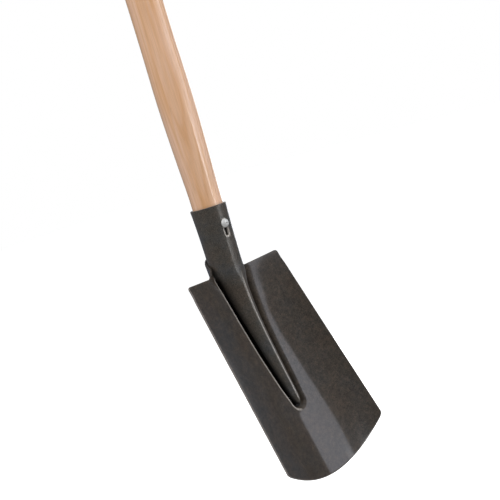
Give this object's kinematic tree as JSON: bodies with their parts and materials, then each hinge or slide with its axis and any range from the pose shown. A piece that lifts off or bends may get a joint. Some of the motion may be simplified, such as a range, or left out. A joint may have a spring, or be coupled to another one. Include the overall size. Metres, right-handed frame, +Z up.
{
  "type": "garden spade",
  "caption": "Garden spade: dished, cranked steel blade with a pressed recess, tapered steel socket, ash shaft held by a screw, and a turned wooden T-grip.",
  "frame": {"origin": "bottom centre of the whole spade's bounding box: level with the lowest point of the cutting edge, halfway across the blade, and halfway between the furthest points to the front and to the back", "axes": "+Z up along the shaft towards the T-grip; the front (the dished, soil-carrying side of the blade) faces -Y; +X is to the right when the front is looked at"},
  "size_m": [0.1752, 0.1046, 1.1],
  "materials": {
    "lacquered_steel": "dark brown-grey clear-lacquered hot-rolled steel, satin, with faint mottling and brighter worn edges",
    "zinc_plated_steel": "dull zinc plating",
    "ash_wood": "pale ash under satin clear varnish, long orange-brown grain",
    "oak_wedge": "darker oak, cut flush, matt"
  },
  "bodies": {
    "root": {"blade": "lacquered_steel", "socket": "lacquered_steel", "socket_screw": "zinc_plated_steel", "shaft": "ash_wood", "t_grip": "ash_wood", "tenon_wedge": "oak_wedge", "grip_pin": "zinc_plated_steel"}
  },
  "joints": []
}
